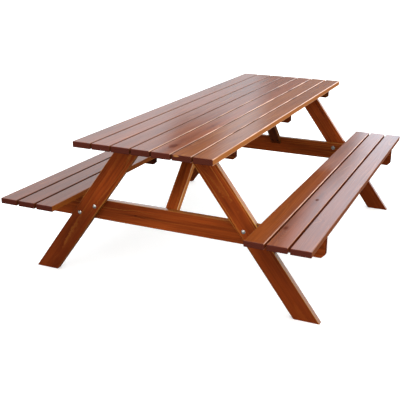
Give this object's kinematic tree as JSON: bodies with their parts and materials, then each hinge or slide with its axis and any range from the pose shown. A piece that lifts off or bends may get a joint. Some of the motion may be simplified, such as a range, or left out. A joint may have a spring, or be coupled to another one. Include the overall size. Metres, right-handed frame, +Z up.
{
  "type": "picnic table",
  "caption": "Wooden picnic table with a bench fixed along each side, on two slanted-leg end frames with diagonal braces.",
  "frame": {"origin": "on the ground, under the centre of the table top", "axes": "+X across the table to the right, +Y along it from the front end to the rear end, +Z up"},
  "size_m": [1.5, 2, 0.75],
  "materials": {
    "top_boards": "red-brown stain, satin",
    "bench_boards": "red-brown stain, satin",
    "frame_timber": "red-brown stain, satin",
    "zinc_steel": "bright zinc plate"
  },
  "bodies": {
    "root": {"top_plank_1": "top_boards", "top_plank_2": "top_boards", "top_plank_3": "top_boards", "top_plank_4": "top_boards", "top_plank_5": "top_boards", "top_plank_6": "top_boards", "top_plank_7": "top_boards", "left_bench_plank_1": "bench_boards", "left_bench_plank_2": "bench_boards", "left_bench_plank_3": "bench_boards", "right_bench_plank_1": "bench_boards", "right_bench_plank_2": "bench_boards", "right_bench_plank_3": "bench_boards", "front_left_leg": "frame_timber", "front_right_leg": "frame_timber", "rear_left_leg": "frame_timber", "rear_right_leg": "frame_timber", "front_bearer": "frame_timber", "rear_bearer": "frame_timber", "front_top_batten": "frame_timber", "middle_top_batten": "frame_timber", "rear_top_batten": "frame_timber", "left_bench_cleat": "frame_timber", "right_bench_cleat": "frame_timber", "front_brace": "frame_timber", "rear_brace": "frame_timber", "bearer_bolts": "zinc_steel", "batten_bolts": "zinc_steel", "bolt_washers": "zinc_steel", "bolt_nuts": "zinc_steel", "top_screws": "zinc_steel", "bench_screws": "zinc_steel", "cleat_screws": "zinc_steel", "brace_screws": "zinc_steel"}
  },
  "joints": []
}
